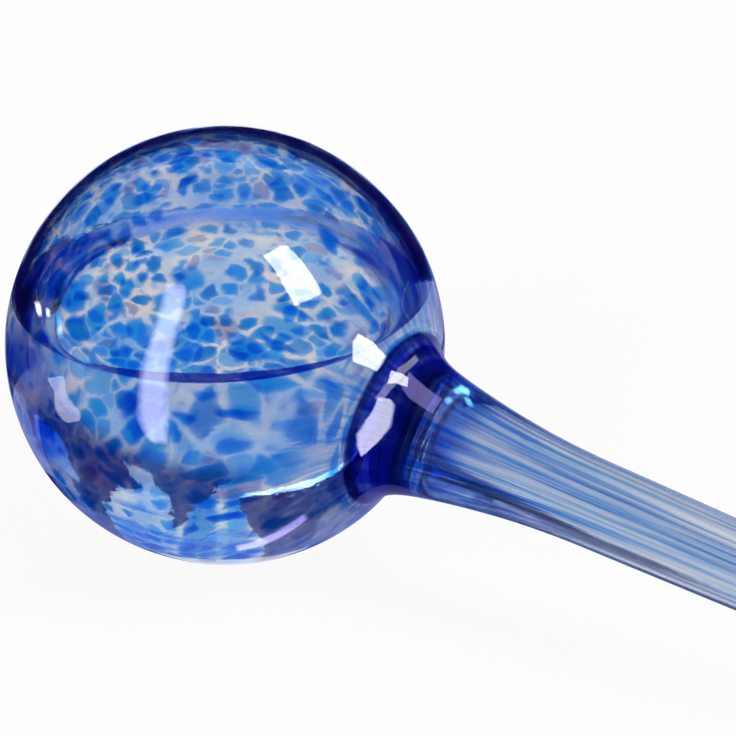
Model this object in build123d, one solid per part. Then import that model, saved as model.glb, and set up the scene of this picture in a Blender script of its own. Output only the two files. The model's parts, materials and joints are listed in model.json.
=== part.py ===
from build123d import *
import os
from math import acos, asin, atan2, cos, degrees, hypot, sin, sqrt

# Watering globe of mouth-blown glass, lying on a table with water in its bulb and stem.
# The globe's own axis runs from the crown of the bulb to the tip of the stem, and stations
# on it count from the bulb's centre. In the part's frame +Z is up, the table is Z = 0 and
# the stem points along +X, leaning down until the lip of its tip touches the table.
# All sizes are in millimetres.

# Bulb
BULB_DIAMETER = 80.0
CROWN_WALL = 1.6
NECK_WALL = 2.4

# Stem, drawn out of the bulb's neck
OVERALL_LENGTH = 290.0
STEM_WALL = 2.6
TIP_DIAMETER = 11.2
TIP_STRAIGHT = 40.0
SHANK_DIAMETER = 15.5
FLARE_LENGTH = 40.0
FLARE_RADIUS = 180.0
NECK_FILLET = 11.0
NECK_LENGTH = 9.0
LIP_RADIUS = 1.1

# Water
WATER_LEVEL = 10.4
MENISCUS_RADIUS = 5.0
COLUMN_STANDOFF = 6.0
COLUMN_DISH_RADIUS = 4.0

# Places that follow from the sizes above
BULB_RADIUS = BULB_DIAMETER / 2
TIP_RADIUS = TIP_DIAMETER / 2
TIP_STATION = OVERALL_LENGTH - BULB_RADIUS
STRAIGHT_STATION = TIP_STATION - TIP_STRAIGHT
FLARE_STATION = BULB_RADIUS + FLARE_LENGTH
SEAM_STATION = BULB_RADIUS + NECK_LENGTH
COLUMN_STATION = STRAIGHT_STATION - COLUMN_STANDOFF
CAVITY_RADIUS = BULB_RADIUS - (CROWN_WALL + NECK_WALL) / 2
CAVITY_CENTRE = (CROWN_WALL - NECK_WALL) / 2

# The stem leans until the bulb and the rounded lip of the tip both touch the table
LIP_STATION = TIP_STATION - LIP_RADIUS
LIP_RING_RADIUS = TIP_RADIUS - LIP_RADIUS
LIP_ANGLE = atan2(LIP_RING_RADIUS, LIP_STATION)
LEAN = asin((BULB_RADIUS - LIP_RADIUS) / hypot(LIP_STATION, LIP_RING_RADIUS)) - LIP_ANGLE
TIP_REACH = LIP_STATION * cos(LEAN) + LIP_RING_RADIUS * sin(LEAN) + LIP_RADIUS
REST = Pos((BULB_RADIUS - TIP_REACH) / 2, 0, BULB_RADIUS) * Rot(0, degrees(LEAN), 0)


def half_disc(radius, station):
    """Upper half of the bulb's round section, with its centre on the axis."""
    arc = CenterArc((station, 0), radius, 0, 180)
    return make_face([arc, Line(arc @ 1, arc @ 0)])


def half_stem(inset, end_station):
    """Upper half of the stem's section, set in from the outside by inset and closed at end_station."""
    flare_end = Vector(FLARE_STATION, SHANK_DIAMETER / 2)
    straight_start = Vector(STRAIGHT_STATION, TIP_RADIUS)
    along = (straight_start - flare_end).normalized()
    taper_out = Vector(-along.Y, along.X)
    straight_out = Vector(0, 1)
    mitre = (taper_out + straight_out) * (1 / (1 + taper_out.dot(straight_out)))
    shank_start = flare_end - taper_out * inset
    tip_start = straight_start - mitre * inset

    flare_centre = flare_end + taper_out * FLARE_RADIUS
    flare_inset_radius = FLARE_RADIUS + inset
    root_station = BULB_RADIUS / 2
    shank_angle = degrees(atan2(-taper_out.Y, -taper_out.X))
    root_angle = -degrees(acos((root_station - flare_centre.X) / flare_inset_radius))
    flare = CenterArc(flare_centre, flare_inset_radius, root_angle, shank_angle - root_angle)
    outline = Polyline(
        shank_start,
        tip_start,
        (end_station, tip_start.Y),
        (end_station, 0),
        (root_station, 0),
        flare @ 0,
    )
    return make_face([flare, *outline.edges()])


def half_globe(bulb_radius, bulb_station, inset, end_station):
    """Upper half of the whole globe's section, with the neck rounded where the stem leaves the bulb."""
    half = half_disc(bulb_radius, bulb_station) + half_stem(inset, end_station)
    on_bulb = half.vertices().filter_by(
        lambda vertex: abs(hypot(vertex.X - bulb_station, vertex.Y) - bulb_radius) < 1e-6
    )
    neck = on_bulb.sort_by(Axis.Y)[-1]
    return fillet(neck, NECK_FILLET + inset)


def half_cavity():
    """Upper half of the hollow's section, run out past the tip so that it opens the stem's mouth."""
    return half_globe(CAVITY_RADIUS, CAVITY_CENTRE, STEM_WALL, TIP_STATION + STEM_WALL)


def glass_section():
    """Half section of the glass wall, with the cut end of the stem melted to a round lip."""
    wall = half_globe(BULB_RADIUS, 0, 0, TIP_STATION) - half_cavity()
    lip = [vertex for vertex in wall.vertices() if abs(vertex.X - TIP_STATION) < 1e-6]
    return fillet(lip, LIP_RADIUS)


def turned(section):
    """Turns a half section round the globe's axis and lays the solid on the table."""
    return REST * revolve(section, Axis.X)


def glass_piece(keep):
    """One end of the glass, as far as the seam across the neck."""
    seam = Plane(origin=(SEAM_STATION, 0, 0), z_dir=(1, 0, 0))
    return turned(split(glass_section(), bisect_by=seam, keep=keep))


def air_pocket():
    """The air over the water: flat below, with a rim that curls up where the water wets the glass."""
    centre = REST * Pos(CAVITY_CENTRE, 0, 0)
    level = BULB_RADIUS + WATER_LEVEL - centre.position.Z
    shore = sqrt(CAVITY_RADIUS**2 - level**2) - MENISCUS_RADIUS
    curl = CenterArc((shore, level + MENISCUS_RADIUS), MENISCUS_RADIUS, -90, 90)
    outline = Polyline(
        curl @ 1,
        (BULB_RADIUS, level + MENISCUS_RADIUS),
        (BULB_RADIUS, BULB_RADIUS),
        (0, BULB_RADIUS),
        (0, level),
        curl @ 0,
    )
    half = Plane.XZ * make_face([curl, *outline.edges()])
    return Pos(*centre.position) * revolve(half, Axis.Z)


def water():
    """Water that fills the stem's bore and the lower part of the bulb, held in by the air outside."""
    dish_station = COLUMN_STATION + COLUMN_DISH_RADIUS
    dish = Pos(dish_station, 0) * Circle(COLUMN_DISH_RADIUS)
    mouth_air = Pos(dish_station, 0) * Rectangle(TIP_STATION, TIP_DIAMETER, align=(Align.MIN, Align.CENTER))
    return turned(half_cavity() - dish - mouth_air) - air_pocket()


os.makedirs("parts", exist_ok=True)
export_step(glass_piece(Keep.BOTTOM), "parts/glass_bulb.step")
export_step(glass_piece(Keep.TOP), "parts/glass_stem.step")
export_step(water(), "parts/water_fill.step")
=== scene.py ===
import json
import math

import bpy
import numpy as np
from bpy.props import FloatProperty, FloatVectorProperty, PointerProperty
from mathutils import Matrix, Vector, noise
from mathutils.interpolate import poly_3d_calc


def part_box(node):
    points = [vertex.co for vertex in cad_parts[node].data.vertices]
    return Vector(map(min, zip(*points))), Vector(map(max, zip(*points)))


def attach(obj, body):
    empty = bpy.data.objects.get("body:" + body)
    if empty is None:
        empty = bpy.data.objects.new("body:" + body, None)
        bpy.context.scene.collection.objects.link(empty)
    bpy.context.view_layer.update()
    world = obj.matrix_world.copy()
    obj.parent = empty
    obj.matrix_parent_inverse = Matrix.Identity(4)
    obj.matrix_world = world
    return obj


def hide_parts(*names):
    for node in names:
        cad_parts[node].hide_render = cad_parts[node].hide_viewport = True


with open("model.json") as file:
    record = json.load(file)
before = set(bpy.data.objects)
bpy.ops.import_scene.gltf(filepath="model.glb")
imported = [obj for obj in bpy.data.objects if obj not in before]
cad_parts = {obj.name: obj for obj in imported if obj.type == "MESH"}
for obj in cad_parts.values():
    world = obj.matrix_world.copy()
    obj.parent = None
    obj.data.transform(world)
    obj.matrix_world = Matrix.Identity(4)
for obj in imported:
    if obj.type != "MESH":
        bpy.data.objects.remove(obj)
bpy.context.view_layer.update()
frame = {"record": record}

# A watering globe of blown blue glass, lying on a table with water in it. Glass and water are
# turned about the globe's own axis, which runs from the crown of the bulb to the tip of the
# stem. Stations on that axis count from the bulb's centre. All lengths are in metres.

bl_info = {
    "name": "Watering Globe",
    "version": (1, 0, 0),
    "blender": (4, 5, 0),
    "location": "View3D > Sidebar > Watering Globe",
    "description": "Blows a watering globe of grained blue glass, fills it with water and lights it on a table",
    "category": "Add Mesh",
}

STEM_END = next(mount for mount in frame["record"]["mounts"] if mount["name"] == "stem_end")
STEM_AXIS = Vector(STEM_END["axis"]).normalized()
BULB_LOW, BULB_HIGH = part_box("glass_bulb")
BULB_RADIUS = (BULB_HIGH.y - BULB_LOW.y) / 2
BULB_CENTRE = Vector((BULB_LOW.x + BULB_RADIUS, 0, BULB_LOW.z + BULB_RADIUS))
LAID_DOWN = Matrix.Translation(BULB_CENTRE) @ STEM_AXIS.to_track_quat("X", "Z").to_matrix().to_4x4()

# The picture's side in pixels and the width of the camera's sensor
PHOTO_SIDE = 736
SENSOR = 0.036

# How finely the glass and the water are turned, and the parts of their profiles divided
TURNS = 192
BULB_STEPS = 120
NECK_STEPS = 28
FLARE_STEPS = 40
SHANK_STEPS = 26
TIP_STEPS = 10
LIP_STEPS = 5
DISH_STEPS = 8

# Softening of the neck: samples for each length of it, lengths that count on either side, where it starts, what
# share of the flare it leaves as it is, and over what lengths it comes in and fades
SOFT_SAMPLES = 15
SOFT_LENGTHS = 3
SOFT_START = 0.8 * BULB_RADIUS
FIRM_FLARE = 1 / 3
SOFT_FADE_IN = 0.003
SOFT_FADE_OUT = 0.006

# Waves of the blown wall: how many to the metre, where their pattern starts, the strength of the quick ones, the
# radius of the stem under which they are weaker, and the radius that counts as the axis
SLOW_WAVES, SLOW_START = 45, Vector((3.1, 0.7, 5.2))
QUICK_WAVES, QUICK_START = 160, Vector((8.3, 2.9, 1.4))
QUICK_SHARE = 0.18
STEADY_RADIUS = 0.3 * BULB_RADIUS
ON_AXIS = 1e-6

# Drawing of the stem: where it starts and is complete, in bulb radii along the wall from the crown, how much it
# stretches the grains, its twist in radians, and the fineness of the spokes along the neck and round it
DRAW_START = 1.45
DRAW_END = 3.2
DRAW_STRETCH = 0.955
DRAW_TWIST = 0.25
SPOKES_ALONG = 120
SPOKES_ROUND = 16

# Stations between which the neck's spokes come in and fade, the stem's streaks turn from deep blue to their own blue,
# and its pale streaks widen
SPOKES_RISE = (0.030, 0.0365)
SPOKES_FALL = (0.040, 0.046)
STREAKS_PALER = (0.050, 0.085)
STREAKS_WIDER = (0.050, 0.100)

# The neck's collar, a band of painted shade, counted from its start: how sharply it starts, and where its dark ring
# begins to fade and is gone. Counted from its end: how far before it the blue thins, how raggedly, from where and to
# where it fades off, and where it is gone
COLLAR_EDGE = 0.0006
RING_FADES = 0.0010
RING_GONE = 0.0018
COLLAR_THINS = 0.006
COLLAR_RAGGED = 0.010
COLLAR_FADE_START = 0.003
COLLAR_FADE_END = 0.011
COLLAR_GONE = 0.020

# Places on the bulb where the grains are made smaller or larger, which pales or deepens them there: place on the
# unblown ball and reach, in millimetres, and how much the grains grow
PATCHES = (
    ((9, -17, 34.5), 20, -0.26),
    ((20, -33.5, 8.2), 10, -0.22),
    ((-3, -36.5, 15.5), 13, 0.18),
    ((22.5, -32.5, -4.5), 10, 0.25),
    ((26.5, -13, 27), 8, 0.14),
    ((5, -36, -17), 9, -0.20),
    ((26.8, -17, -24), 9, -0.30),
)

# Water: width of its edge that is finely divided, how the edge's rings crowd to the glass, rings on the edge and on
# the open water, how near the last ring of its column comes to the dished end, and from what angle its faces meet
# in a sharp edge
SHORE_WIDTH = 0.012
SHORE_CROWDING = 1.5
SHORE_RINGS = 40
OPEN_RINGS = 12
COLUMN_GAP = 0.0005
WATER_EDGE = math.radians(40)

# Air over the water: how far into the glass its outer rings start and end, how many there are, how far into the glass
# its foot goes on climbing, and how far it reaches up over the bulb's centre
AIR_START = 0.0002
AIR_OVERLAP = 0.001
AIR_RINGS = 5
CLIMB_END = 0.0004
AIR_TOP = 1.3 * BULB_RADIUS

# Table and canopy: half the table's side, how much of its colour is its own glow, how dark its specks are, the distance
# of the canopy and the ceiling, the points along them, and the step between the points of a cloth in degrees
TABLE_HALF = 4.0
TABLE_GLOW = 0.93
TABLE_SPECK = 0.97
CANOPY_RADIUS = 7.0
CANOPY_POINTS = 73
CLOTH_STEP = 5

# Painted shade on the table as the glass shows it, with the soft start and end of each edge: of the dusk behind
# the bulb, of the shade on the right with its slanting side, and of the dark before the kerbs
DUSK_BEHIND = (0.060, 0.076)
SHADE_ASIDE = (0.002, 0.018)
SHADE_BEHIND = (0.11, 0.15)
SHADE_SLANT = -0.3
SHADE_SLANT_EDGE = (0.0, 0.02)
SHADE_FADES = (0.075, 0.110)
KERB_STARTS = (0.084, 0.104)
KERB_ENDS = (0.106, 0.110)
KERB_ASIDE = (-0.008, -0.001)

# Torn edges of the room's cards: the seed, the length of a tear on near and far cards, and how far behind the bulb a
# card counts as far, in millimetres
TEAR_SEED = 7
NEAR_TEAR = 2.0
FAR_TEAR = 5.0
FAR_CARDS = 150

# Strength of the surroundings as light on matt things, and how often light may bend or be mirrored
MATT_LIGHT = 0.3
MOST_BENDS = 48
MOST_MIRRORS = 24

# The rim's card: how far behind the bulb it stands, its outer radius, the points along it, how uneven its hole is
# and how often, and the hole's radius in millimetres by the turn from the right in degrees
RIM_CARD_BEHIND = 0.060
RIM_CARD_RADIUS = 0.160
RIM_POINTS = 180
RIM_UNEVEN = 0.0045
RIM_WAVES = 9
RIM_TURNS = (18, 40, 70, 88, 108, 165, 205)
RIM_HOLE = (55.5, 55.5, 54, 54.5, 58.5, 58.5, 56)

# Highlights: colour and brightness of the card, its distance from the glass, how much of its edge fades,
# and the two sides of its image in the picture, in pixels
WHITE = (1.0, 1.0, 1.0)
PEARL = (0.84, 0.84, 1.0)
LILAC = (0.50, 0.42, 1.0)
CYAN = (0.20, 0.70, 1.0)
HIGHLIGHTS = (
    ("window_card", WHITE, 16, 0.50, 0.03, ((262, 255), (295, 306.5)), ((286, 243.5), (323.5, 294))),
    (
        "strip_card", PEARL, 13, 0.012, 0.25,
        ((166, 282), (158, 308), (152, 330), (139, 370), (136, 392), (136, 420), (150, 445)),
        ((190, 284), (186, 310), (180, 330), (171, 370), (170, 392), (171, 420), (168, 445)),
    ),
    (
        "star_card", WHITE, 18, 0.004, 0.06,
        ((358, 333), (352, 341), (352, 362)),
        ((373, 342), (387, 356), (377, 372)),
    ),
    (
        "drop_card", PEARL, 5, 0.004, 0.08,
        ((47, 378), (50, 385), (54, 391), (54, 398), (54, 406), (57, 414), (62, 420), (68, 423)),
        ((64, 375), (66, 383), (66, 391), (69, 397), (74, 403), (79, 409), (82, 415), (80, 421)),
    ),
    (
        "foot_streak_card", LILAC, 7, 0.012, 0.25,
        ((234, 546), (252, 541), (272, 533), (288, 524), (306, 512)),
        ((236, 552), (256, 548), (277, 540), (294, 530), (309, 519)),
    ),
    (
        "collar_card", PEARL, 16, 0.003, 0.12,
        ((378, 396), (364, 421), (355, 434), (356, 446), (361, 458)),
        ((391, 399), (396, 405), (392, 427), (380, 441), (366, 453)),
    ),
    (
        "collar_band_card", PEARL, 5, 0.003, 0.15,
        ((416, 354), (398, 367), (384, 384), (373, 399)),
        ((420, 360), (405, 374), (391, 391), (381, 403)),
    ),
    (
        "collar_pane_card", LILAC, 6, 0.003, 0.06,
        ((409, 371), (429, 389), (443, 399)),
        ((399, 384), (408, 398), (433, 415)),
    ),
    ("spark_card_1", WHITE, 16, 0.004, 0.35, ((34, 301), (37, 318)), ((41, 300), (43, 317))),
    ("spark_card_2", CYAN, 11, 0.004, 0.35, ((55, 309), (57, 341)), ((62, 311), (64, 339))),
    ("spark_card_3", WHITE, 16, 0.004, 0.35, ((45, 307), (46, 319)), ((50, 307), (51, 317))),
    ("spark_card_4", CYAN, 16, 0.003, 0.35, ((443, 399), (446, 407)), ((451, 394), (454, 402))),
    (
        "spark_card_5", CYAN, 18, 0.003, 0.35,
        ((452, 389), (461, 384), (472, 390)),
        ((454, 395), (463, 395), (469, 397)),
    ),
    ("spark_card_6", CYAN, 16, 0.003, 0.35, ((462, 395), (468, 409)), ((470, 396), (475, 407))),
)


def length(name, description, default):
    """A length that the user can change, in metres."""
    return FloatProperty(
        name=name, description=description, default=default, min=0, precision=4, subtype="DISTANCE", unit="LENGTH"
    )


def angle(name, description, degrees):
    """An angle that the user can change."""
    return FloatProperty(
        name=name, description=description, default=math.radians(degrees), subtype="ANGLE", unit="ROTATION"
    )


def colour(name, description, default):
    """A colour that the user can change."""
    return FloatVectorProperty(
        name=name, description=description, default=default, size=3, min=0, max=1, subtype="COLOR"
    )


class GlassSettings(bpy.types.PropertyGroup):
    """Sizes and colours of the blown glass."""

    crown_wall: length("Crown Wall", "Thickness of the bulb opposite the stem", 0.0016)
    neck_wall: length("Neck Wall", "Thickness of the bulb at the stem", 0.0024)
    overall_length: length("Overall Length", "From the crown of the bulb to the tip of the stem", 0.290)
    stem_wall: length("Stem Wall", "Thickness of the stem's tube", 0.0026)
    tip_diameter: length("Tip Diameter", "Outside of the stem's straight end", STEM_END["dims"]["r_mm"] / 500)
    tip_straight: length("Straight Tip", "Length of the stem's straight end", 0.040)
    shank_diameter: length("Shank Diameter", "Outside of the stem where the flare ends", 0.0155)
    flare_length: length("Flare Length", "From the bulb's round to the end of the flare", 0.040)
    flare_radius: length("Flare Radius", "Curve of the flare along the stem", 0.180)
    neck_fillet: length("Neck Fillet", "Curve between the bulb and the flare", 0.011)
    softness: length("Softness", "Length over which the neck's curves flow into one another", 0.0026)
    lip_radius: length("Lip Radius", "Rounding of the melted lip", 0.0011)
    wobble: length("Wobble", "How far the blown wall strays from a true round", 0.00012)
    # The collar is painted shade: a dark blue band in the glass's colour for the dark that the flare refracts
    collar_start: length("Collar Start", "From the bulb's centre to the neck's collar of thick blue glass", 0.0368)
    collar_end: length("Collar End", "From the bulb's centre to where the collar thins out", 0.0468)
    grain: length("Grain Size", "Width of a grain of coloured glass on the bulb", 0.0046)
    inner_share: FloatProperty(
        name="Inner Share",
        description="Share of the colour that lies at the inner face of the wall",
        default=0.1,
        min=0,
        max=0.5,
        subtype="FACTOR",
    )
    deep_blue: colour("Deep Blue", "Tint of the darkest grains", (0.008, 0.24, 0.74))
    mid_blue: colour("Mid Blue", "Tint of most grains", (0.035, 0.38, 0.86))
    pale_blue: colour("Pale Blue", "Tint of the thinnest grains", (0.28, 0.58, 0.92))
    lavender: colour("Lavender", "Tint of the odd grains of another glass", (0.46, 0.42, 0.60))
    cream: colour("Cream", "Tint of the bare glass between the grains", (0.93, 0.885, 0.84))
    haze: colour("Haze", "Tint of the glass where grains have melted away", (0.62, 0.76, 0.91))
    # Painted shade: the dark blue of the neck's collar
    collar_shade_blue: colour("Collar Blue", "Tint of the neck's collar", (0.025, 0.025, 0.46))
    ring_blue: colour("Ring Blue", "Tint of the dark ring where the collar starts", (0.008, 0.02, 0.16))
    streak_blue: colour("Streak Blue", "Tint of the stem's blue streaks", (0.14, 0.38, 0.70))
    streak_steel: colour("Streak Steel", "Tint of the stem's pale streaks", (0.66, 0.72, 0.78))
    wall_blue: colour("Wall Blue", "Tint of the clear glass that the grains lie in", (0.38, 0.44, 0.92))
    wall_density: FloatProperty(
        name="Wall Density", description="How strongly a metre of the clear glass tints", default=25.0, min=0
    )


class WaterSettings(bpy.types.PropertyGroup):
    """How the water stands in the globe."""

    level: length("Level", "Height of the water over the bulb's centre", 0.0104)
    climb: length("Climb", "How far the water climbs the glass at its edge", 0.0011)
    climb_reach: length("Climb Reach", "How far from the glass the water starts to climb", 0.0011)
    column_standoff: length("Column Standoff", "From the end of the water in the stem to the straight tip", 0.006)
    column_dish: length("Column Dish", "Radius of the dished end of the water in the stem", 0.004)
    seat: length("Seat", "How far the water is let into the glass, so that no air shows between them", 0.0001)
    tint: colour("Tint", "Colour of clear water", (0.95, 0.98, 1.0))


class StageSettings(bpy.types.PropertyGroup):
    """Camera, table and light."""

    azimuth: angle("Azimuth", "Turn of the camera about the globe", 34.36)
    elevation: angle("Elevation", "Height of the camera over the table's plane", 27.4)
    roll: angle("Roll", "Tilt of the picture", 1.9)
    distance: length("Distance", "From the camera to the plane through the bulb's centre", 0.800)
    magnification: FloatProperty(
        name="Magnification", description="Pixels of the picture for one metre at the bulb", default=5492.4
    )
    bulb_across: FloatProperty(
        name="Bulb Across", description="From the left edge to the bulb's centre", default=225.13, subtype="PIXEL"
    )
    bulb_down: FloatProperty(
        name="Bulb Down", description="From the top edge to the bulb's centre", default=345.1, subtype="PIXEL"
    )
    table: colour("Table", "Colour of the table", (0.86, 0.85, 0.84))
    flag: colour("Flag", "Colour of the dark cards that draw the glass's edges", (0.006, 0.003, 0.075))
    room: colour("Room", "Colour of the dark room behind the globe", (0.014, 0.012, 0.190))
    drape: colour("Drape", "Colour of the blue drape on the camera's side", (0.004, 0.020, 0.550))
    shade: colour("Shade", "Colour of the table's shaded side through the glass", (0.09, 0.11, 0.42))
    # Painted shadow: the dark blue sheet on the table under the bulb
    foot: colour("Foot", "Colour of the table under the bulb through the water's edge", (0.006, 0.020, 0.420))
    # Painted shade: the table darkens to this behind the globe where glass shows it
    dusk: colour("Dusk", "Colour of the table behind the globe through the glass", (0.68, 0.72, 0.84))


class Shader:
    """A node tree with short calls to add and join its nodes."""

    def __init__(self, tree):
        self.tree = tree
        tree.nodes.clear()

    def add(self, kind, settings=None, **inputs):
        """Adds a node. A value that is a socket is linked, and any other is set."""
        node = self.tree.nodes.new(kind)
        for name, value in (settings or {}).items():
            setattr(node, name, value)
        for name, value in inputs.items():
            self.put(node.inputs[name.replace("_", " ")], value)
        return node

    def put(self, socket, value):
        """Links a socket to another one, or gives it a value."""
        if isinstance(value, bpy.types.NodeSocket):
            self.tree.links.new(value, socket)
        else:
            socket.default_value = value

    def maths(self, operation, *values):
        """One step of arithmetic."""
        node = self.tree.nodes.new("ShaderNodeMath")
        node.operation = operation
        for socket, value in zip(node.inputs, values):
            self.put(socket, value)
        return node.outputs[0]

    def times(self, first, *others):
        """The product of several values."""
        for other in others:
            first = self.maths("MULTIPLY", first, other)
        return first

    def vectors(self, operation, first, second):
        """One step of arithmetic on vectors."""
        node = self.tree.nodes.new("ShaderNodeVectorMath")
        node.operation = operation
        self.put(node.inputs[0], first)
        self.put(node.inputs["Scale"] if operation == "SCALE" else node.inputs[1], second)
        return node.outputs["Value" if operation in ("DOT_PRODUCT", "DISTANCE") else "Vector"]

    def blend(self, share, first, second):
        """A colour between two, by share."""
        node = self.tree.nodes.new("ShaderNodeMix")
        node.data_type = "RGBA"
        for socket, value in zip((node.inputs[0], node.inputs[6], node.inputs[7]), (share, first, second)):
            self.put(socket, value)
        return node.outputs[2]

    def smooth(self, value, low, high, start=0.0, end=1.0):
        """A soft step from start to end as value goes from low to high."""
        node = self.add("ShaderNodeMapRange", {"interpolation_type": "SMOOTHSTEP"}, Value=value)
        for name, number in (("From Min", low), ("From Max", high), ("To Min", start), ("To Max", end)):
            node.inputs[name].default_value = number
        return node.outputs[0]

    def clouds(self, place, scale, detail=2.0, output="Fac"):
        """Noise over a place, as a value or a colour."""
        return self.add("ShaderNodeTexNoise", Vector=place, Scale=scale, Detail=detail).outputs[output]

    def marked(self, name, output):
        """What each point of the mesh was given under a name."""
        return self.add("ShaderNodeAttribute", {"attribute_name": name}).outputs[output]

    def seen(self):
        """1 where a ray comes from the camera, a mirror or clear glass, and else 0."""
        path = self.add("ShaderNodeLightPath").outputs
        straight = self.maths("MAXIMUM", path["Is Camera Ray"], path["Is Glossy Ray"])
        return self.maths("MAXIMUM", straight, path["Is Transmission Ray"])

    def finish(self, surface, volume=None):
        """Joins the shaders to the output."""
        output = self.tree.nodes.new("ShaderNodeOutputMaterial")
        for name, shader in (("Surface", surface), ("Volume", volume)):
            if shader is not None:
                self.tree.links.new(shader.outputs[0], output.inputs[name])


def opaque(rgb):
    """A property's colour with full alpha, as the shaders take it."""
    return (*rgb, 1.0)


def new_material(name):
    """An empty material with nodes."""
    material = bpy.data.materials.new(name)
    material.use_nodes = True
    return material, Shader(material.node_tree)


def new_object(name, mesh, *materials):
    """Puts a mesh into the scene, shaded smooth."""
    thing = bpy.data.objects.new(name, mesh)
    bpy.context.collection.objects.link(thing)
    for material in materials:
        mesh.materials.append(material)
    mesh.shade_smooth()
    return thing


def ease(value, low, high):
    """A soft step from 0 to 1 as value goes from low to high."""
    share = np.clip((value - low) / (high - low), 0, 1)
    return share * share * (3 - 2 * share)


def arc(centre, radius, start, end, steps):
    """Points on a part of a circle, its ends among them."""
    turn = np.linspace(start, end, steps + 1)
    return np.stack([centre[0] + radius * np.cos(turn), centre[1] + radius * np.sin(turn)], 1)


def run(start, end, steps):
    """Points on a straight line after its start."""
    share = np.linspace(0, 1, steps + 1)[1:, None]
    return np.asarray(start) * (1 - share) + np.asarray(end) * share


def softened(profile, first, last, spread):
    """A profile whose changes of curve between two stations are rounded off, as the fire does."""
    far = np.concatenate([[0], np.cumsum(np.linalg.norm(np.diff(profile, axis=0), axis=1))])
    even = np.arange(0, far[-1], spread / SOFT_SAMPLES)
    tail = SOFT_LENGTHS * SOFT_SAMPLES
    weights = np.exp(-0.5 * (np.arange(-tail, tail + 1) / SOFT_SAMPLES) ** 2)
    soft = np.empty_like(profile)
    for axis in (0, 1):
        line = np.pad(np.interp(even, far, profile[:, axis]), tail, mode="edge")
        soft[:, axis] = np.interp(far, even, np.convolve(line, weights / weights.sum(), "valid"))
    station = profile[:, 0]
    share = ease(station, first, first + SOFT_FADE_IN) - ease(station, last - SOFT_FADE_OUT, last)
    return profile + (soft - profile) * share[:, None]


def wall_face(glass, bulb_radius, bulb_station, inset):
    """One face of the wall as stations and radii, from the crown of the bulb to the end of the stem."""
    tip_station = glass.overall_length - BULB_RADIUS
    flare_end = np.array([BULB_RADIUS + glass.flare_length, glass.shank_diameter / 2])
    straight_start = np.array([tip_station - glass.tip_straight, glass.tip_diameter / 2])
    along = straight_start - flare_end
    along /= np.linalg.norm(along)
    taper_out = np.array([-along[1], along[0]])
    mitre = taper_out + (0, 1)
    mitre /= mitre[1]
    flare_centre = flare_end + taper_out * glass.flare_radius
    flare_radius = glass.flare_radius + inset
    fillet_radius = glass.neck_fillet + inset

    # The fillet's centre is as far from the bulb's and the flare's centres as rolling contact puts it
    from_bulb = bulb_radius + fillet_radius
    from_flare = flare_radius - fillet_radius
    to_flare = flare_centre - (bulb_station, 0)
    apart = np.linalg.norm(to_flare)
    forward = (from_bulb**2 - from_flare**2 + apart**2) / (2 * apart)
    aside = math.sqrt(from_bulb**2 - forward**2)
    line = to_flare / apart
    fillet_centre = line * forward + np.array([line[1], -line[0]]) * aside + (bulb_station, 0)

    leaves_bulb = math.atan2(fillet_centre[1], fillet_centre[0] - bulb_station)
    meets_flare = math.atan2(*(fillet_centre - flare_centre)[::-1])
    ends_flare = math.atan2(*-taper_out[::-1])
    shank_start = flare_end - taper_out * inset
    tip_start = straight_start - mitre * inset
    face = np.concatenate(
        [
            arc((bulb_station, 0), bulb_radius, math.pi, leaves_bulb, BULB_STEPS),
            arc(fillet_centre, fillet_radius, leaves_bulb - math.pi, meets_flare, NECK_STEPS)[1:],
            arc(flare_centre, flare_radius, meets_flare, ends_flare, FLARE_STEPS)[1:],
            run(shank_start, tip_start, SHANK_STEPS),
            run(tip_start, (tip_station - glass.lip_radius, tip_start[1]), TIP_STEPS),
        ]
    )
    return softened(face, SOFT_START, flare_end[0] - FIRM_FLARE * glass.flare_length, glass.softness)


def outer_face(glass):
    """The outside of the glass."""
    return wall_face(glass, BULB_RADIUS, 0, 0)


def inner_face(glass, seat=0.0):
    """The hollow of the glass, whose ball sits a little off the bulb's centre. It is let into the wall by seat."""
    radius = BULB_RADIUS - (glass.crown_wall + glass.neck_wall) / 2 + seat
    return wall_face(glass, radius, (glass.crown_wall - glass.neck_wall) / 2, glass.stem_wall - seat)


def turned(profile):
    """Vertices and faces of a closed form turned about the X axis. The profile starts and ends on the axis."""
    rings = profile[1:-1]
    angles = np.arange(TURNS) * (2 * math.pi / TURNS)
    body = np.empty((len(rings), TURNS, 3))
    body[..., 0] = rings[:, None, 0]
    body[..., 1] = rings[:, None, 1] * np.cos(angles)
    body[..., 2] = rings[:, None, 1] * np.sin(angles)
    points = np.concatenate([[[profile[0, 0], 0, 0]], body.reshape(-1, 3), [[profile[-1, 0], 0, 0]]])

    here = np.arange(TURNS)
    after = (here + 1) % TURNS
    start = 1 + np.arange(len(rings) - 1)[:, None] * TURNS
    quads = np.stack([start + here, start + TURNS + here, start + TURNS + after, start + after], -1).reshape(-1, 4)
    last = 1 + (len(rings) - 1) * TURNS
    faces = quads.tolist()
    faces += [(0, 1 + a, 1 + b) for a, b in zip(here, after)]
    faces += [(len(points) - 1, last + b, last + a) for a, b in zip(here, after)]
    return points, faces


def mesh_of(name, points, faces):
    """A mesh whose faces look outward."""
    mesh = bpy.data.meshes.new(name)
    mesh.from_pydata(points.tolist(), [], faces)
    mesh.validate()
    mesh.update()
    mesh.calc_loop_triangles()
    corners = np.array([triangle.vertices[:] for triangle in mesh.loop_triangles])
    a, b, c = (points[corners[:, i]] for i in range(3))
    if np.einsum("ij,ij->i", a, np.cross(b, c)).sum() < 0:
        mesh.flip_normals()
    return mesh


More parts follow.
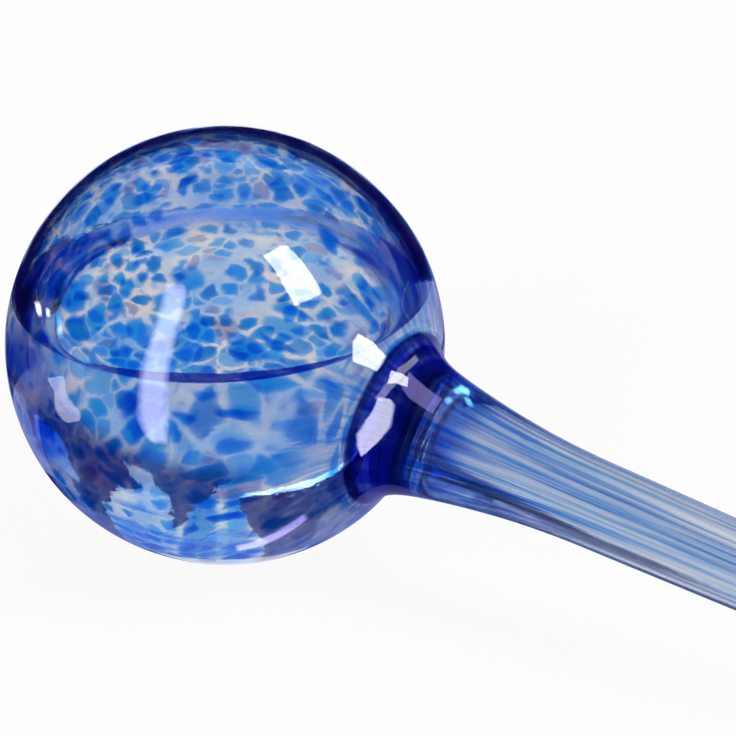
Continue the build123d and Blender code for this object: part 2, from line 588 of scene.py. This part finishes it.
def blown(points, wobble):
    """Moves points as breath and gravity do, in slow waves along the glass and across it."""
    moved = points.copy()
    for i, point in enumerate(points):
        place = Vector(point)
        on_stem = point[0] > BULB_RADIUS
        out = Vector((0.0, *point[1:])) if on_stem else place
        if out.length < ON_AXIS:
            continue
        slow = noise.noise(place * SLOW_WAVES + SLOW_START)
        quick = noise.noise(place * QUICK_WAVES + QUICK_START)
        away = min(1.0, out.length / STEADY_RADIUS) if on_stem else 1.0
        moved[i] += np.array(out.normalized() * wobble * away * (slow + QUICK_SHARE * quick))
    return moved


def drawn_out(outside):
    """How far each ring was from the crown before the stem was drawn, and how much it was drawn, from 0 to 1."""
    steps = np.linalg.norm(np.diff(outside, axis=0), axis=1)
    far = np.concatenate([[0], np.cumsum(steps)])
    share = ease(far, DRAW_START * BULB_RADIUS, DRAW_END * BULB_RADIUS)
    pace = 1 - DRAW_STRETCH * share
    gathered = np.concatenate([[0], np.cumsum(steps * (pace[1:] + pace[:-1]) / 2)])
    return gathered, share


def mark(mesh, name, values):
    """Gives each point of a mesh a number or a vector for its material to read."""
    kind, field = ("FLOAT", "value") if values.ndim == 1 else ("FLOAT_VECTOR", "vector")
    mesh.attributes.new(name, kind, "POINT").data.foreach_set(field, values.ravel())


def grain_tint(shader, glass, gathered, ragged):
    """Rounded grains with soft ragged edges, bent by the blowing, and bare glass between them."""
    per_grain = 0.001 / glass.grain
    bend = shader.clouds(gathered, 0.11, output="Color")
    bend = shader.vectors("SCALE", shader.vectors("SUBTRACT", bend, (0.5, 0.5, 0.5)), 7.0)
    place = shader.vectors("ADD", gathered, bend)
    cell = shader.add("ShaderNodeTexVoronoi", Vector=place, Scale=per_grain, Randomness=0.95).outputs
    edge = shader.add(
        "ShaderNodeTexVoronoi", {"feature": "DISTANCE_TO_EDGE"}, Vector=place, Scale=per_grain, Randomness=0.95
    ).outputs["Distance"]
    zones = shader.clouds(gathered, 0.045, 1.0)
    grown = shader.maths("MULTIPLY_ADD", cell["Distance"], -0.45, edge)
    grown = shader.maths("MULTIPLY_ADD", ragged, 0.30, grown)
    grown = shader.maths("MULTIPLY_ADD", zones, 0.50, grown)
    for middle, reach, more in PATCHES:
        far = shader.vectors("DISTANCE", gathered, middle)
        grown = shader.maths("ADD", grown, shader.smooth(far, 0.3 * reach, reach, more, 0.0))

    # Each grain has its own glass, thicker in the middle
    pick = shader.add("ShaderNodeSeparateColor", Color=cell["Color"]).outputs
    pale = opaque(glass.pale_blue)
    blue = shader.blend(shader.smooth(pick["Red"], 0.15, 0.75), opaque(glass.deep_blue), opaque(glass.mid_blue))
    blue = shader.blend(shader.smooth(pick["Green"], 0.60, 0.95), blue, pale)
    tint = shader.blend(shader.smooth(pick["Blue"], 0.89, 0.91), blue, opaque(glass.lavender))
    tint = shader.blend(shader.smooth(grown, 0.26, 0.60), shader.blend(0.40, tint, pale), tint)
    melted = shader.smooth(shader.clouds(gathered, 0.09), 0.40, 0.60)
    bare = shader.blend(melted, opaque(glass.cream), opaque(glass.haze))
    return shader.blend(shader.smooth(grown, 0.18, 0.40), bare, tint)


def drawn_tint(shader, glass, tint, station, fine):
    """The grains drawn to spokes towards the neck, and to fine pale streaks along the stem."""
    steel = opaque(glass.streak_steel)
    spokes = shader.smooth(shader.clouds(shader.marked("round", "Vector"), 0.55), 0.44, 0.56)
    spokes = shader.blend(spokes, opaque(glass.mid_blue), steel)
    near = shader.times(
        shader.smooth(station, *SPOKES_RISE, 0.0, 0.65), shader.smooth(station, *SPOKES_FALL, 1.0, 0.0)
    )
    tint = shader.blend(near, tint, spokes)
    deep = shader.smooth(station, *STREAKS_PALER, 0.85, 0.0)
    dark = shader.blend(deep, opaque(glass.streak_blue), opaque(glass.deep_blue))
    streak = shader.blend(shader.smooth(fine, 0.38, 0.48), dark, steel)
    streak = shader.blend(shader.smooth(fine, 0.52, 0.60), streak, opaque(glass.cream))
    drawn = shader.smooth(shader.marked("drawn", "Fac"), 0.5, 1.0, 0.0, 0.78)
    return shader.blend(drawn, tint, streak)


def collar_shade_tint(shader, glass, tint, station, fine, ragged):
    """Painted shade: a dark blue band round the neck for the dark its flare refracts, with a dark ring at its start."""
    start, end = glass.collar_start, glass.collar_end
    frayed_station = shader.maths("MULTIPLY_ADD", fine, COLLAR_RAGGED, station)
    collar = shader.times(
        shader.smooth(frayed_station, end + COLLAR_FADE_START, end + COLLAR_FADE_END, 1.0, 0.2),
        shader.smooth(ragged, 0.35, 0.6, 0.8, 1.0),
        shader.smooth(station, end, end + COLLAR_GONE, 1.0, 0.0),
        shader.smooth(station, start, start + COLLAR_EDGE),
    )
    thin = shader.times(shader.smooth(station, end - COLLAR_THINS, end), shader.smooth(ragged, 0.42, 0.58, 0.15, 0.75))
    blue = shader.blend(thin, opaque(glass.collar_shade_blue), opaque(glass.deep_blue))
    tint = shader.blend(collar, tint, blue)
    ring = shader.times(collar, shader.smooth(station, start + RING_FADES, start + RING_GONE, 1.0, 0.0))
    return shader.blend(ring, tint, opaque(glass.ring_blue))


def glass_material(glass):
    """Clear glass with crushed blue, lavender and cream grains melted into it, drawn to streaks in the stem."""
    material, shader = new_material("grained_blue_glass")
    gathered = shader.marked("gathered", "Vector")
    station = shader.marked("station", "Fac")
    ragged = shader.clouds(gathered, 0.45, 3.0)
    fine = shader.clouds(gathered, 0.38, 3.0)
    fine = shader.maths("ADD", fine, shader.smooth(station, *STREAKS_WIDER, -0.02, 0.03))
    tint = grain_tint(shader, glass, gathered, ragged)
    tint = drawn_tint(shader, glass, tint, station, fine)
    # Painted shade: a dark blue collar at the neck
    tint = collar_shade_tint(shader, glass, tint, station, fine, ragged)

    # Most of the grains lie near the outside of the wall, so its inner face takes a smaller share of the colour
    outside = shader.marked("outside", "Fac")
    depth = shader.maths("MULTIPLY_ADD", outside, 2.0 - 4.0 * glass.inner_share, 2.0 * glass.inner_share)
    tint = shader.add("ShaderNodeGamma", Color=tint, Gamma=depth).outputs["Color"]

    ripple = shader.clouds(gathered, 0.40, 4.0)
    bump = shader.add("ShaderNodeBump", Strength=0.6, Distance=2.0e-5, Height=ripple)
    surface = shader.add(
        "ShaderNodeBsdfPrincipled",
        Base_Color=tint,
        Roughness=shader.smooth(ragged, 0.3, 0.7, 0.0, 0.02),
        IOR=1.5,
        Transmission_Weight=1.0,
        Normal=bump.outputs["Normal"],
    )
    volume = shader.add("ShaderNodeVolumeAbsorption", Color=opaque(glass.wall_blue), Density=glass.wall_density)
    shader.finish(surface, volume)
    return material


def water_material(water):
    """Clear water with a faint drift of tint in it."""
    material, shader = new_material("standing_water")
    place = shader.add("ShaderNodeNewGeometry").outputs["Position"]
    drift = shader.clouds(place, 40.0)
    clear = shader.blend(shader.smooth(drift, 0.35, 0.65), opaque(water.tint), opaque(WHITE))
    surface = shader.add(
        "ShaderNodeBsdfPrincipled", Base_Color=clear, Roughness=0.0, IOR=1.333, Transmission_Weight=1.0
    )
    shader.finish(surface)
    return material


class WATERING_GLOBE_OT_blow_glass(bpy.types.Operator):
    """Blow the bulb and draw the stem out of it, as one wall of glass"""

    bl_idname = "watering_globe.blow_glass"
    bl_label = "Blow Glass"
    bl_options = {"REGISTER", "UNDO"}

    def execute(self, context):
        glass = context.scene.watering_globe_glass
        outside, hollow = outer_face(glass), inner_face(glass)
        lip = glass.lip_radius
        outer_lip = arc(outside[-1] - (0, lip), lip, math.pi / 2, 0, LIP_STEPS)[1:]
        inner_lip = arc(hollow[-1] + (0, lip), lip, 0, -math.pi / 2, LIP_STEPS)[:-1]
        profile = np.concatenate([outside, outer_lip, inner_lip, hollow[::-1]])
        if profile[1:-1, 1].min() <= 0:
            raise RuntimeError("the stem's wall is thicker than the stem")
        points, faces = turned(profile)
        mesh = mesh_of("glass_globe", blown(points, glass.wobble), faces)

        # Where each point was on the ball before the stem was drawn, and what else the material reads
        far, share = drawn_out(outside)
        ends = np.full(len(outer_lip) + len(inner_lip), far[-1])
        far = np.concatenate([far, ends, far[::-1]])
        share = np.concatenate([share, np.ones(len(ends)), share[::-1]])
        per_point = np.concatenate([[0], np.repeat(np.arange(1, len(profile) - 1), TURNS), [len(profile) - 1]])
        polar = far[per_point] / BULB_RADIUS
        spin = np.arctan2(points[:, 2], points[:, 1]) + DRAW_TWIST * share[per_point]
        ball = np.stack([-np.cos(polar), np.sin(polar) * np.cos(spin), np.sin(polar) * np.sin(spin)], 1)
        sides = np.concatenate([np.ones(len(outside) + len(outer_lip)), np.zeros(len(inner_lip) + len(hollow))])
        mark(mesh, "gathered", ball * BULB_RADIUS * 1000)
        mark(mesh, "drawn", share[per_point])
        mark(mesh, "outside", sides[per_point])
        mark(mesh, "station", points[:, 0].copy())
        along, across = SPOKES_ALONG * points[:, 0], SPOKES_ROUND * np.stack([np.cos(spin), np.sin(spin)])
        mark(mesh, "round", np.stack([along, *across], 1))

        mesh.transform(LAID_DOWN)
        globe = new_object("glass_globe", mesh, glass_material(glass))
        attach(globe, "root")
        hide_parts("glass_bulb", "glass_stem")
        return {"FINISHED"}


def water_body(glass, water, hollow):
    """The hollow filled to the brim, with a dished end in the stem."""
    straight_station = glass.overall_length - BULB_RADIUS - glass.tip_straight
    dish_station = straight_station - water.column_standoff + water.column_dish
    bore = np.interp(dish_station - water.column_dish, hollow[:, 0], hollow[:, 1])
    rim = math.asin(bore / water.column_dish)
    dish = arc((dish_station, 0), water.column_dish, math.pi - rim, math.pi, DISH_STEPS)
    dish[-1, 1] = 0
    column = hollow[hollow[:, 0] < dish[0, 0] - COLUMN_GAP]
    points, faces = turned(np.concatenate([column, dish]))
    body = mesh_of("water_body", blown(points, glass.wobble), faces)
    body.transform(LAID_DOWN)
    return body


def air_pocket(glass, water, hollow):
    """The air over the water, turned about a plumb line. Its foot curls up at the glass."""
    wall = math.sqrt(hollow[:, 1].max() ** 2 - water.level**2)
    open_water = np.linspace(0, wall - SHORE_WIDTH, OPEN_RINGS)[:-1]
    shore = wall - SHORE_WIDTH * np.linspace(1, 0, SHORE_RINGS) ** SHORE_CROWDING
    reach = np.concatenate([open_water, shore, wall + np.linspace(AIR_START, AIR_OVERLAP, AIR_RINGS)])
    foot = water.level + water.climb * np.exp(np.minimum(reach - wall, CLIMB_END) / water.climb_reach)
    points, faces = turned(np.concatenate([np.stack([foot, reach], 1), [[AIR_TOP, reach[-1]], [AIR_TOP, 0]]]))
    pocket = mesh_of("air_pocket", points, faces)
    plumb = Vector((0, 0, 1)).to_track_quat("X", "Y").to_matrix().to_4x4()
    hollow_centre = LAID_DOWN @ Vector(((glass.crown_wall - glass.neck_wall) / 2, 0, 0))
    pocket.transform(Matrix.Translation((hollow_centre.x, 0, BULB_CENTRE.z)) @ plumb)
    return pocket


class WATERING_GLOBE_OT_pour_water(bpy.types.Operator):
    """Fill the stem and the lower part of the bulb with water"""

    bl_idname = "watering_globe.pour_water"
    bl_label = "Pour Water"
    bl_options = {"REGISTER", "UNDO"}

    def execute(self, context):
        glass = context.scene.watering_globe_glass
        water = context.scene.watering_globe_water
        hollow = inner_face(glass, water.seat)
        whole = new_object("water_body", water_body(glass, water, hollow))
        empty = new_object("air_pocket", air_pocket(glass, water, hollow))
        cut = whole.modifiers.new("air", "BOOLEAN")
        cut.operation = "DIFFERENCE"
        cut.solver = "EXACT"
        cut.object = empty
        context.view_layer.update()
        mesh = bpy.data.meshes.new_from_object(whole.evaluated_get(context.evaluated_depsgraph_get()))
        mesh.name = "water_fill"
        for scrap in (whole, empty):
            bpy.data.objects.remove(scrap)
        if len(mesh.polygons) < TURNS:
            raise RuntimeError("the air took all the water away")
        fill = new_object("water", mesh, water_material(water))
        mesh.set_sharp_from_angle(angle=WATER_EDGE)
        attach(fill, "root")
        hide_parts("water_fill")
        return {"FINISHED"}


def seen_from(stage, turn, height):
    """Direction of a place on the stage, by its turn to the right of the camera's side and its height."""
    round_to = stage.azimuth + turn
    flat = math.cos(height)
    return Vector((math.sin(round_to) * flat, -math.cos(round_to) * flat, math.sin(height)))


def spot(stage, right, behind, height):
    """A place in millimetres from the bulb's foot on the table, with right and behind as the camera has them."""
    aside = seen_from(stage, math.pi / 2, 0) * right + seen_from(stage, math.pi, 0) * behind
    return Vector((BULB_CENTRE.x, 0, 0)) + (aside + Vector((0, 0, height))) / 1000


def picture_axes(stage):
    """Directions to the right, up and out of the picture."""
    back = seen_from(stage, 0, stage.elevation)
    right = Vector((math.cos(stage.azimuth), math.sin(stage.azimuth), 0))
    up = back.cross(right)
    across = right * math.cos(stage.roll) - up * math.sin(stage.roll)
    upward = right * math.sin(stage.roll) + up * math.cos(stage.roll)
    return across, upward, back


def camera_place(stage):
    """Where the camera stands, so that the bulb falls where it does in the picture."""
    across, upward, back = picture_axes(stage)
    right_of_middle = (stage.bulb_across - PHOTO_SIDE / 2) / stage.magnification
    over_middle = (PHOTO_SIDE / 2 - stage.bulb_down) / stage.magnification
    return BULB_CENTRE - across * right_of_middle - upward * over_middle + back * stage.distance


def add_camera(stage):
    """Stands the camera where the picture was taken from."""
    data = bpy.data.cameras.new("camera")
    data.sensor_width = SENSOR * 1000
    data.lens = data.sensor_width * stage.magnification * stage.distance / PHOTO_SIDE
    camera = bpy.data.objects.new("camera", data)
    bpy.context.collection.objects.link(camera)
    axes = Matrix(picture_axes(stage)).transposed().to_4x4()
    camera.matrix_world = Matrix.Translation(camera_place(stage)) @ axes
    bpy.context.scene.camera = camera


def mirrored(stage, across, down, reach):
    """The place at a distance from the glass that its outside mirrors at a place in the picture."""
    right, up, back = picture_axes(stage)
    focal = stage.magnification * stage.distance
    look = right * (across - PHOTO_SIDE / 2) - up * (down - PHOTO_SIDE / 2) - back * focal
    look.normalize()
    globe = bpy.data.objects["glass_globe"]
    met, place, _, face = globe.ray_cast(camera_place(stage), look)
    if not met:
        raise RuntimeError("there is no glass at that place in the picture")
    corners = [globe.data.vertices[i] for i in globe.data.polygons[face].vertices]
    shares = poly_3d_calc([corner.co for corner in corners], place)
    normal = sum((corner.normal * share for corner, share in zip(corners, shares)), Vector()).normalized()
    return place + look.reflect(normal) * reach


def add_lamp(stage, name, turn, height, distance, size, radiance):
    """Hangs a soft lamp that faces the bulb and lights the table. Glass sees the cards in its place."""
    data = bpy.data.lights.new(name, "AREA")
    data.shape = "RECTANGLE"
    data.size, data.size_y = size
    data.energy = radiance * math.pi * size[0] * size[1]
    lamp = bpy.data.objects.new(name, data)
    bpy.context.collection.objects.link(lamp)
    toward = seen_from(stage, math.radians(turn), math.radians(height))
    lamp.location = BULB_CENTRE + toward * distance
    lamp.rotation_mode = "QUATERNION"
    lamp.rotation_quaternion = toward.to_track_quat("Z", "Y")
    lamp.visible_camera = lamp.visible_glossy = lamp.visible_transmission = False


def table_glow(stage, shader, place):
    """Painted shade through glass: white, but darker behind the globe, and darkest on the right and before the kerbs.
    """
    through = shader.add("ShaderNodeLightPath").outputs["Is Transmission Ray"]
    offset = shader.vectors("SUBTRACT", place, (BULB_CENTRE.x, 0, 0))
    aside = shader.vectors("DOT_PRODUCT", offset, seen_from(stage, math.pi / 2, 0))
    behind = shader.vectors("DOT_PRODUCT", offset, seen_from(stage, math.pi, 0))
    far = shader.times(shader.smooth(behind, *DUSK_BEHIND), through)
    glow = shader.blend(far, opaque(WHITE), opaque(stage.dusk))
    near = shader.times(shader.smooth(aside, *SHADE_ASIDE), shader.smooth(behind, *SHADE_BEHIND, 1.0, 0.0))
    slant = shader.smooth(shader.maths("MULTIPLY_ADD", behind, SHADE_SLANT, aside), *SHADE_SLANT_EDGE)
    side = shader.times(shader.maths("MAXIMUM", near, slant), far, shader.smooth(aside, *SHADE_FADES, 1.0, 0.6))
    glow = shader.blend(side, glow, opaque(stage.shade))
    kerb = shader.times(
        shader.smooth(behind, *KERB_STARTS),
        shader.smooth(behind, *KERB_ENDS, 1.0, 0.0),
        far,
        shader.smooth(aside, *KERB_ASIDE),
    )
    return shader.blend(kerb, glow, opaque(stage.room))


def add_table(stage):
    """Lays the pale table: nearly white with a soft shadow, and with painted shade where glass shows it."""
    material, shader = new_material("pale_table")
    place = shader.add("ShaderNodeNewGeometry").outputs["Position"]
    speckle = shader.smooth(shader.clouds(place, 60.0, 4.0), 0.3, 0.7)
    table = opaque(stage.table)
    specked = shader.blend(speckle, table, tuple(c * TABLE_SPECK for c in table))
    matt = shader.add("ShaderNodeBsdfDiffuse", Color=specked)
    white = shader.add("ShaderNodeEmission", Color=table_glow(stage, shader, place), Strength=1.0)
    mix = shader.add("ShaderNodeMixShader", Fac=shader.times(shader.seen(), TABLE_GLOW))
    shader.tree.links.new(matt.outputs[0], mix.inputs[1])
    shader.tree.links.new(white.outputs[0], mix.inputs[2])
    shader.finish(mix)
    mesh = bpy.data.meshes.new("table")
    corners = [(x * TABLE_HALF, y * TABLE_HALF, 0) for x, y in ((-1, -1), (1, -1), (1, 1), (-1, 1))]
    mesh.from_pydata(corners, [], [(0, 1, 2, 3)])
    new_object("table", mesh, material)


def card_material(name, hue, strength=1.0):
    """An even glow for a card."""
    material, shader = new_material(name)
    shader.finish(shader.add("ShaderNodeEmission", Color=opaque(hue), Strength=strength))
    return material


def gleam_material(name, hue, strength):
    """A glow that fades out where the card's points are marked down, and hides nothing."""
    material, shader = new_material(name)
    glow = shader.times(shader.marked("gleam", "Fac"), strength)
    light = shader.add("ShaderNodeEmission", Color=opaque(hue), Strength=glow)
    both = shader.tree.nodes.new("ShaderNodeAddShader")
    shader.tree.links.new(light.outputs[0], both.inputs[0])
    shader.tree.links.new(shader.add("ShaderNodeBsdfTransparent").outputs[0], both.inputs[1])
    shader.finish(both)
    return material


def blind_material():
    """Level stripes of white and sky blue."""
    material, shader = new_material("striped_blind")
    place = shader.add("ShaderNodeNewGeometry").outputs["Position"]
    stripes = shader.clouds(shader.vectors("MULTIPLY", place, (0.25, 0.25, 1.0)), 80.0)
    light = shader.blend(shader.smooth(stripes, 0.42, 0.56), (0.20, 0.46, 0.95, 1.0), opaque(WHITE))
    shader.finish(shader.add("ShaderNodeEmission", Color=light, Strength=1.0))
    return material


def between(first, second):
    """Points and faces of a band between two rows of points."""
    count = len(first)
    return [*first, *second], [(i, i + 1, count + i + 1, count + i) for i in range(count - 1)]


def torn(corners, step, amount):
    """The outline of a card with torn edges."""
    chance = np.random.default_rng(TEAR_SEED)
    outline = []
    for start, end in zip(corners, (*corners[1:], corners[0])):
        pieces = 1 + int(math.dist(start, end) / step)
        for share in np.arange(pieces) / pieces:
            aside, height = np.array(start) * (1 - share) + np.array(end) * share + chance.normal(0, amount, 2)
            outline.append((aside, max(height, 0)))
    return outline


def add_card(name, points, faces, material, in_mirror=True, through=True):
    """A card that only glass shows, mirrored on its outside, through it, or both."""
    mesh = bpy.data.meshes.new(name)
    mesh.from_pydata(points, [], faces)
    card = new_object(name, mesh, material)
    card.visible_camera = card.visible_shadow = card.visible_diffuse = False
    card.visible_glossy, card.visible_transmission = in_mirror, through
    return mesh


def add_rim_flag(stage, black):
    """Stands a card with a rough hole behind the bulb, so that only the bulb's rim is seen against it."""
    right, up, back = picture_axes(stage)
    middle = BULB_CENTRE - back * RIM_CARD_BEHIND
    hole, edge = [], []
    for turn in np.linspace(RIM_TURNS[0], RIM_TURNS[-1], RIM_POINTS):
        outward = right * math.cos(math.radians(turn)) + up * math.sin(math.radians(turn))
        open_to = np.interp(turn, RIM_TURNS, RIM_HOLE) / 1000
        hole.append(middle + outward * (open_to + RIM_UNEVEN * noise.noise(outward * RIM_WAVES)))
        edge.append(middle + outward * RIM_CARD_RADIUS)
    add_card("rim_flag", *between(hole, edge), black)


def add_room(stage, room):
    """Stands the dark room behind the globe. Its gaps are windows, which the water shows upside down."""
    spark = card_material("spark_card", (0.16, 0.38, 1.0))
    gleam = card_material("gleam_card", (0.70, 0.95, 1.0), 2.5)
    pale = card_material("pale_card", (0.34, 0.32, 0.44))
    violet = card_material("violet_card", (0.22, 0.30, 0.70))

    # How far behind the bulb each card stands and how torn its edges are, and its corners to the right of the bulb
    # and over the table, all in millimetres
    for name, card, behind, tear, corners in (
        ("kerb_right", room, 105, 0.5, ((8, 0), (56, 0), (56, 16), (26, 19), (20, 19), (11, 7), (8, 5))),
        ("kerb_spark", spark, 104, 0.8, ((25, 4), (46, 4), (52, 10), (48, 18), (28, 18))),
        ("kerb_middle", room, 105, 0.3, ((-4, 0), (5, 0), (4.5, 5), (6, 17), (6.5, 20), (3, 13), (1, 7), (-2, 2))),
        ("kerb_left", room, 140, 0.0, ((-150, 0), (-6, 0), (-6.5, 4.2), (-150, 4.2))),
        ("kerb_gleam", gleam, 139, 0.1, ((-45, 0), (-6, 0), (-6, 0.8), (-20, 2.8), (-45, 3.8))),
        ("wall_low", room, 100, 0.4, ((-110, 6), (-4, 6), (-5, 13.7), (-6.5, 19), (-110, 19))),
        ("wall_left", room, 190, 1.2, ((-300, 27), (-14, 27), (-17, 43), (-22, 58), (-26, 180), (-300, 180))),
        ("wall_pale", pale, 189, 1.2, ((-300, 27), (-46, 27), (-52, 60), (-60, 180), (-300, 180))),
        ("wall_right", room, 190, 1.2, ((52, 20), (253, 20), (253, 180), (96, 180), (87, 133), (69, 69), (56, 23))),
        ("stem_shade", violet, 130, 0.0, ((50, 12), (200, 12), (200, 60), (50, 60))),
        ("blind", blind_material(), 200, 0.0, ((-60, 0), (150, 0), (150, 180), (-60, 180))),
    ):
        outline = torn(corners, NEAR_TEAR if behind < FAR_CARDS else FAR_TEAR, tear) if tear else corners
        points = [spot(stage, aside, behind, height) for aside, height in outline]
        add_card(name, points, [range(len(points))], card)


def add_low_cards(stage, black):
    """Stands a low card along the stem, and lays a painted shadow at the bulb's foot and a cloth before the stem."""
    low, high = (
        [spot(stage, *place) for place in row]
        for row in (
            ((36, 60, 14), (55, 48, 10.5), (67, 39, 8), (80, 28, 6.5), (88, 18, 5), (125, -1, 1)),
            ((36, 60, 19), (55, 48, 15), (67, 39, 13), (80, 28, 12), (88, 18, 11), (125, -1, 8)),
        )
    )
    add_card("stem_flag", *between(low, high), black)
    # Painted shadow: a dark blue sheet on the table under the bulb, which only glass shows
    near, far = (
        [spot(stage, aside, behind, 0.4) for aside, behind in row]
        for row in (
            ((-26, -12), (-20, -12), (-12, -12), (0, -12), (12, -12), (20, -12), (26, -12)),
            ((-26, 21), (-20, 18), (-12, 15), (0, 13), (12, 15), (20, 18), (26, 21)),
        )
    )
    add_card("foot_shade", *between(near, far), card_material("foot_shadow_card", stage.foot))
    to_right, to_camera = math.cos(stage.azimuth), math.sin(stage.azimuth)
    near, far = (
        [spot(stage, to_right * along, -to_camera * along - before, 1.5) for along in (42, 60, 100, 160, 240)]
        for before in (4, 40)
    )
    cloth = card_material("stem_cloth_card", (0.30, 0.30, 0.75))
    add_card("stem_cloth", *between(near, far), cloth, through=False)


def add_surroundings(stage, black):
    """Hangs a canopy and lays cloths that the glass mirrors, and hangs a ceiling and a drape that it shows."""
    drape = card_material("drape_card", stage.drape)
    ceiling = card_material("ceiling_card", (0.78, 0.82, 1.0), 1.2)
    mirror, window = (True, False), (False, True)
    for name, card, widest, low, high, seen in (
        ("canopy", black, 180, -4, 35, mirror),
        ("canopy_middle", black, 180, 35, 62, mirror),
        ("canopy_top", black, 180, 62, 89, mirror),
        ("drape", drape, 95, 4, 44, window),
        ("ceiling_edge", ceiling, 180, 46, 62, window),
        ("ceiling", ceiling, 180, 62, 89, window),
    ):
        turns = np.radians(np.linspace(-widest, widest, CANOPY_POINTS))
        rows = [[seen_from(stage, a, math.radians(h)) * CANOPY_RADIUS for a in turns] for h in (low, high)]
        add_card(name, *between(*rows), card, *seen)

    # Each cloth's two distances from the bulb in millimetres, its turns about it in degrees, and its height
    cloth = card_material("cloth_card", (0.22, 0.21, 0.50))
    pale_cloth = card_material("pale_cloth_card", (0.34, 0.33, 0.60))
    for name, card, near, far, start, end, height in (
        ("near_cloth", cloth, 20, 36, -160, 160, 1),
        ("dark_cloth", black, 36, 3000, -160, 160, 1),
        ("left_cloth", pale_cloth, 45, 300, -160, -95, 1.5),
        ("right_cloth", pale_cloth, 45, 300, 95, 160, 1.5),
    ):
        turns = np.radians(np.arange(start, end + 1, CLOTH_STEP))
        rows = [[spot(stage, r * math.sin(a), -r * math.cos(a), height) for a in turns] for r in (near, far)]
        add_card(name, *between(*rows), card, through=False)


def add_cards(stage):
    """Sets cards round the globe, which draw the edges of its glass and keep its blues deep."""
    black, room = card_material("black_card", stage.flag), card_material("room_card", stage.room)
    add_rim_flag(stage, black)
    add_room(stage, room)
    add_low_cards(stage, black)
    add_surroundings(stage, black)


def gleam_grid(first, second, soft):
    """Places in the picture over a highlight between two edges, in four rows, and how bright each of them is."""
    last = len(first) - 1
    along = np.array([0, soft, *range(1, last), last - soft, last])
    sides = [
        np.stack([np.interp(along, range(last + 1), np.array(edge)[:, axis]) for axis in (0, 1)], 1)
        for edge in (first, second)
    ]
    glow = np.interp(along, (0, soft, last - soft, last), (0, 1, 1, 0))
    places = [sides[0] * (1 - share) + sides[1] * share for share in (0, soft, 1 - soft, 1)]
    return places, np.concatenate([glow * row for row in (0, 1, 1, 0)])


def add_highlights(stage):
    """Hangs bright cards where the glass mirrors them at the places of its highlights in the picture."""
    for name, hue, glow, reach, soft, first, second in HIGHLIGHTS:
        places, glows = gleam_grid(first, second, soft)
        points = [mirrored(stage, *place, reach) for row in places for place in row]
        count = len(places[0])
        faces = [(i, i + 1, i + count + 1, i + count) for i in range(3 * count) if (i + 1) % count]
        mesh = add_card(name, points, faces, gleam_material(name, hue, glow), through=False)
        mark(mesh, "gleam", glows)


def add_world():
    """White surroundings, dimmer where they only add light to matt things."""
    world = bpy.data.worlds.new("studio")
    world.use_nodes = True
    shader = Shader(world.node_tree)
    strength = shader.maths("MULTIPLY_ADD", shader.seen(), 1.0 - MATT_LIGHT, MATT_LIGHT)
    light = shader.add("ShaderNodeBackground", Color=opaque(WHITE), Strength=strength)
    output = world.node_tree.nodes.new("ShaderNodeOutputWorld")
    world.node_tree.links.new(light.outputs[0], output.inputs["Surface"])
    bpy.context.scene.world = world


class WATERING_GLOBE_OT_set_stage(bpy.types.Operator):
    """Stand the camera, lay the table, and set the cards and lamps round the globe"""

    bl_idname = "watering_globe.set_stage"
    bl_label = "Set Stage"
    bl_options = {"REGISTER", "UNDO"}

    def execute(self, context):
        stage = context.scene.watering_globe_stage
        add_camera(stage)
        add_world()
        add_table(stage)
        add_cards(stage)
        add_highlights(stage)
        add_lamp(stage, "window_lamp", turn=62, height=50, distance=4.0, size=(1.04, 2.16), radiance=14.0)
        add_lamp(stage, "strip_lamp", turn=-36, height=26, distance=4.0, size=(1.20, 3.40), radiance=8.0)
        bounces = context.scene.cycles
        bounces.max_bounces = bounces.transmission_bounces = MOST_BENDS
        bounces.glossy_bounces = MOST_MIRRORS
        context.scene.view_settings.view_transform = "Standard"
        return {"FINISHED"}


class VIEW3D_PT_watering_globe(bpy.types.Panel):
    """Everything that makes the globe"""

    bl_idname = "VIEW3D_PT_watering_globe"
    bl_label = "Watering Globe"
    bl_space_type = "VIEW_3D"
    bl_region_type = "UI"
    bl_category = "Watering Globe"

    def draw(self, context):
        for operator, settings in STEPS:
            box = self.layout.box()
            owner = getattr(context.scene, settings)
            for name in owner.__annotations__:
                box.prop(owner, name)
            box.operator(operator)


STEPS = (
    ("watering_globe.blow_glass", "watering_globe_glass"),
    ("watering_globe.pour_water", "watering_globe_water"),
    ("watering_globe.set_stage", "watering_globe_stage"),
)
SETTINGS = {
    "watering_globe_glass": GlassSettings,
    "watering_globe_water": WaterSettings,
    "watering_globe_stage": StageSettings,
}
CLASSES = (
    *SETTINGS.values(),
    WATERING_GLOBE_OT_blow_glass,
    WATERING_GLOBE_OT_pour_water,
    WATERING_GLOBE_OT_set_stage,
    VIEW3D_PT_watering_globe,
)


def register():
    """Makes the settings, the operators and the panel known to Blender."""
    for each in CLASSES:
        bpy.utils.register_class(each)
    for name, group in SETTINGS.items():
        setattr(bpy.types.Scene, name, PointerProperty(type=group))


def unregister():
    """Takes them all back."""
    for name in SETTINGS:
        delattr(bpy.types.Scene, name)
    for each in reversed(CLASSES):
        bpy.utils.unregister_class(each)


def main():
    """Makes the globe and its stage."""
    register()
    bpy.ops.watering_globe.blow_glass()
    bpy.ops.watering_globe.pour_water()
    bpy.ops.watering_globe.set_stage()


if __name__ == "__main__":
    main()
